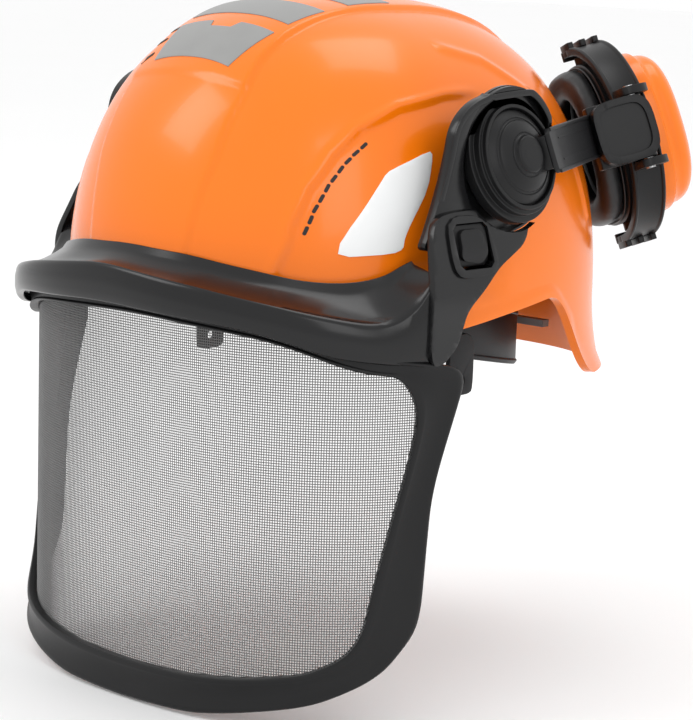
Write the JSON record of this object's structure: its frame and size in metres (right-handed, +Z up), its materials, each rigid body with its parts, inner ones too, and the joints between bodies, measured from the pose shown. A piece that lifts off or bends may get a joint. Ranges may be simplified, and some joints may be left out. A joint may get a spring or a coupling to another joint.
{
  "type": "forestry helmet",
  "caption": "Safety helmet with a raisable mesh visor and peak, and swing-out hearing cups parked behind the shell.",
  "frame": {"origin": "centre of the head opening, level with the side rim of the shell", "axes": "+X to the wearer's left, -Y to the front, +Z up through the crown"},
  "size_m": [0.2694, 0.336, 0.3279],
  "materials": {
    "shell_plastic": "glossy moulded orange",
    "grey_reflector": "grey reflective film",
    "white_reflector": "white reflective film",
    "black_satin": "satin moulded black",
    "black_gloss": "semi-gloss moulded black",
    "band_plastic": "smooth black",
    "rack_nylon": "natural grey",
    "webbing": "woven strap",
    "pad_fabric": "padded cloth",
    "mesh_steel": "painted wire mesh",
    "fastener_steel": "zinc plated",
    "strip_plastic": "satin",
    "cushion_skin": "soft vinyl skin",
    "liner_foam": "open foam"
  },
  "bodies": {
    "helmet": {"shell": "shell_plastic", "crown_reflector_front": "grey_reflector", "crown_reflector_middle": "grey_reflector", "crown_reflector_rear": "grey_reflector", "side_reflector_left": "white_reflector", "side_reflector_right": "white_reflector", "hub_base_left": "black_satin", "hub_base_right": "black_satin", "hub_bolts": "fastener_steel", "crown_straps": "webbing", "strap_anchors": "black_satin", "headband": "band_plastic", "sweatband": "pad_fabric"},
    "nape": {"nape_band": "band_plastic", "nape_pad": "pad_fabric", "ratchet_housing": "black_satin"},
    "knob": {"ratchet_knob": "black_satin", "drive_pinion": "rack_nylon"},
    "rack_l": {"rack_left": "rack_nylon"},
    "rack_r": {"rack_right": "rack_nylon"},
    "visor": {"visor_peak": "black_gloss", "visor_arm_left": "black_gloss", "visor_arm_right": "black_gloss", "visor_frame": "black_satin", "visor_mesh": "mesh_steel", "mesh_retainer": "black_satin", "frame_rivets": "fastener_steel"},
    "button_l": {"visor_button_left": "black_satin"},
    "button_r": {"visor_button_right": "black_satin"},
    "hub_l": {"hub_cap_left": "black_satin"},
    "arm_l": {"arm_strip_left": "strip_plastic", "arm_block_left": "black_satin", "block_pin_left": "fastener_steel"},
    "fork_l": {"fork_left": "black_satin"},
    "cup_l": {"cup_shell_left": "shell_plastic", "cup_plate_left": "black_satin", "cup_cushion_left": "cushion_skin", "cup_liner_left": "liner_foam"},
    "hub_r": {"hub_cap_right": "black_satin"},
    "arm_r": {"arm_strip_right": "strip_plastic", "arm_block_right": "black_satin", "block_pin_right": "fastener_steel"},
    "fork_r": {"fork_right": "black_satin"},
    "cup_r": {"cup_shell_right": "shell_plastic", "cup_plate_right": "black_satin", "cup_cushion_right": "cushion_skin", "cup_liner_right": "liner_foam"}
  },
  "joints": [
    {"name": "nape_slide", "type": "slide", "parent": "helmet", "child": "nape", "axis": [0, -1, 0], "range_m": [0, 0.012]},
    {"name": "knob_turn", "type": "hinge", "parent": "nape", "child": "knob", "pos_m": [0, 0.1046, -0.028], "axis": [0, -1, 0], "range_deg": [0, 137.51]},
    {"name": "rack_left_slide", "type": "slide", "parent": "nape", "child": "rack_l", "axis": [-1, 0, 0], "range_m": [0, 0.012]},
    {"name": "rack_right_slide", "type": "slide", "parent": "nape", "child": "rack_r", "axis": [1, 0, 0], "range_m": [0, 0.012]},
    {"name": "visor_raise", "type": "hinge", "parent": "helmet", "child": "visor", "pos_m": [0, 0, 0.075], "axis": [1, 0, 0], "range_deg": [-100, 0]},
    {"name": "button_left_press", "type": "slide", "parent": "visor", "child": "button_l", "axis": [-1, 0, 0], "range_m": [0, 0.002], "stiffness_N_per_m": 900},
    {"name": "cup_left_swing", "type": "hinge", "parent": "helmet", "child": "hub_l", "pos_m": [0.1274, 0, 0.0782], "axis": [0.9563, 0, 0.2924], "range_deg": [-90, 0]},
    {"name": "arm_left_extend", "type": "slide", "parent": "hub_l", "child": "arm_l", "axis": [-0.3971, 0.9176, 0.0157], "range_m": [0, 0.012]},
    {"name": "fork_left_fold", "type": "hinge", "parent": "arm_l", "child": "fork_l", "pos_m": [0.11148, 0.10661, 0.0853], "axis": [-0.3414, -0.0877, 0.9358], "range_deg": [-38, 0]},
    {"name": "cup_left_tilt", "type": "hinge", "parent": "fork_l", "child": "cup_l", "pos_m": [0.0673, 0.142, 0.0725], "axis": [-0.3414, -0.0877, 0.9358], "range_deg": [-3, 3]},
    {"name": "button_right_press", "type": "slide", "parent": "visor", "child": "button_r", "axis": [1, 0, 0], "range_m": [0, 0.002], "stiffness_N_per_m": 900},
    {"name": "cup_right_swing", "type": "hinge", "parent": "helmet", "child": "hub_r", "pos_m": [-0.1274, 0, 0.0782], "axis": [0.9563, 0, -0.2924], "range_deg": [-90, 0]},
    {"name": "arm_right_extend", "type": "slide", "parent": "hub_r", "child": "arm_r", "axis": [0.3971, 0.9176, 0.0157], "range_m": [0, 0.012]},
    {"name": "fork_right_fold", "type": "hinge", "parent": "arm_r", "child": "fork_r", "pos_m": [-0.11148, 0.10661, 0.0853], "axis": [-0.3414, 0.0877, -0.9358], "range_deg": [-38, 0]},
    {"name": "cup_right_tilt", "type": "hinge", "parent": "fork_r", "child": "cup_r", "pos_m": [-0.0673, 0.142, 0.0725], "axis": [-0.3414, 0.0877, -0.9358], "range_deg": [-3, 3]}
  ],
  "couplings": [
    {"joint": "knob_turn", "follows": "nape_slide", "rad_per_m": 200},
    {"joint": "rack_left_slide", "follows": "nape_slide", "ratio": 1},
    {"joint": "rack_right_slide", "follows": "nape_slide", "ratio": 1},
    {"joint": "fork_left_fold", "follows": "cup_left_swing", "ratio": 0.42},
    {"joint": "fork_right_fold", "follows": "cup_right_swing", "ratio": 0.42}
  ]
}
